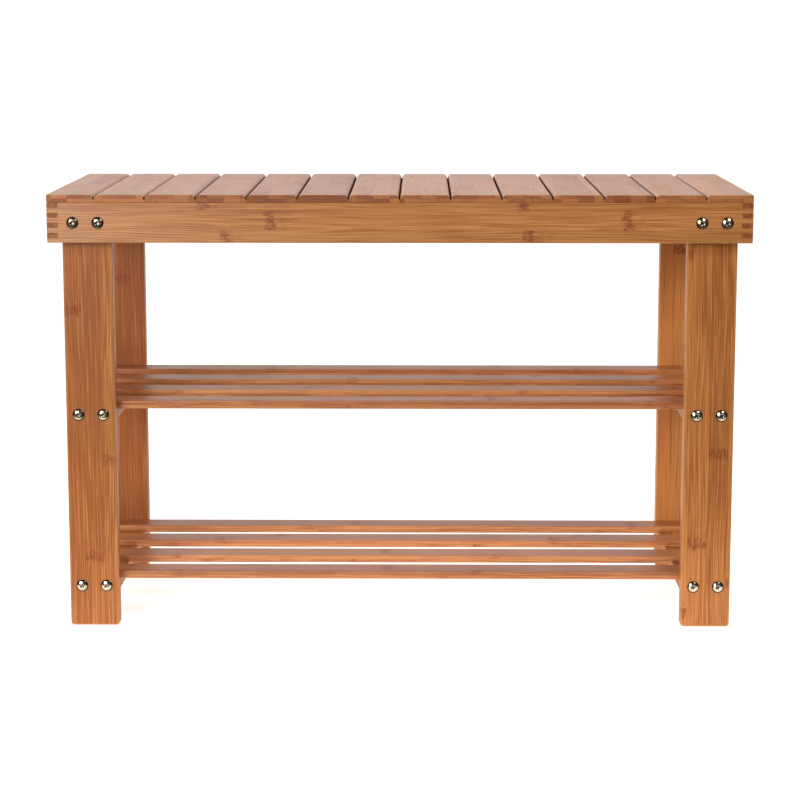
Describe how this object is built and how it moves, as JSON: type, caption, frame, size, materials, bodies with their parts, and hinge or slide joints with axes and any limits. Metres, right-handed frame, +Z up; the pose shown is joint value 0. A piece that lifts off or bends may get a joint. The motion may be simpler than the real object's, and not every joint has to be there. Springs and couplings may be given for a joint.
{
  "type": "entryway bench",
  "caption": "Low slatted bamboo bench on flat board legs, with two open slatted shelves for shoes below the seat.",
  "frame": {"origin": "on the floor, under the middle of the bench", "axes": "+X along the bench to the right seen from the front, +Y from the front to the back, +Z up"},
  "size_m": [0.7, 0.2854, 0.443],
  "materials": {
    "frame_bamboo": "caramel laminated bamboo, satin clear lacquer",
    "seat_bamboo": "caramel laminated bamboo, satin clear lacquer",
    "leg_bamboo": "carbonised laminated bamboo, satin clear lacquer",
    "shelf_bamboo": "carbonised laminated bamboo, satin clear lacquer",
    "screw_steel": "nickel plated, polished"
  },
  "bodies": {
    "root": {"front_apron": "frame_bamboo", "rear_apron": "frame_bamboo", "left_apron": "frame_bamboo", "right_apron": "frame_bamboo", "seat_slat_01": "seat_bamboo", "seat_slat_02": "seat_bamboo", "seat_slat_03": "seat_bamboo", "seat_slat_04": "seat_bamboo", "seat_slat_05": "seat_bamboo", "seat_slat_06": "seat_bamboo", "seat_slat_07": "seat_bamboo", "seat_slat_08": "seat_bamboo", "seat_slat_09": "seat_bamboo", "seat_slat_10": "seat_bamboo", "seat_slat_11": "seat_bamboo", "seat_slat_12": "seat_bamboo", "seat_slat_13": "seat_bamboo", "seat_slat_14": "seat_bamboo", "front_left_leg": "leg_bamboo", "front_right_leg": "leg_bamboo", "rear_left_leg": "leg_bamboo", "rear_right_leg": "leg_bamboo", "lower_shelf_left_rail": "leg_bamboo", "lower_shelf_right_rail": "leg_bamboo", "lower_shelf_slat_1": "shelf_bamboo", "lower_shelf_slat_2": "shelf_bamboo", "lower_shelf_slat_3": "shelf_bamboo", "lower_shelf_slat_4": "shelf_bamboo", "upper_shelf_left_rail": "leg_bamboo", "upper_shelf_right_rail": "leg_bamboo", "upper_shelf_slat_1": "shelf_bamboo", "upper_shelf_slat_2": "shelf_bamboo", "upper_shelf_slat_3": "shelf_bamboo", "upper_shelf_slat_4": "shelf_bamboo", "front_left_apron_screw_inner": "screw_steel", "front_left_apron_screw_outer": "screw_steel", "front_left_lower_rail_screw_inner": "screw_steel", "front_left_lower_rail_screw_outer": "screw_steel", "front_left_upper_rail_screw_inner": "screw_steel", "front_left_upper_rail_screw_outer": "screw_steel", "front_right_apron_screw_inner": "screw_steel", "front_right_apron_screw_outer": "screw_steel", "front_right_lower_rail_screw_inner": "screw_steel", "front_right_lower_rail_screw_outer": "screw_steel", "front_right_upper_rail_screw_inner": "screw_steel", "front_right_upper_rail_screw_outer": "screw_steel", "rear_left_apron_screw_inner": "screw_steel", "rear_left_apron_screw_outer": "screw_steel", "rear_left_lower_rail_screw_inner": "screw_steel", "rear_left_lower_rail_screw_outer": "screw_steel", "rear_left_upper_rail_screw_inner": "screw_steel", "rear_left_upper_rail_screw_outer": "screw_steel", "rear_right_apron_screw_inner": "screw_steel", "rear_right_apron_screw_outer": "screw_steel", "rear_right_lower_rail_screw_inner": "screw_steel", "rear_right_lower_rail_screw_outer": "screw_steel", "rear_right_upper_rail_screw_inner": "screw_steel", "rear_right_upper_rail_screw_outer": "screw_steel"}
  },
  "joints": []
}
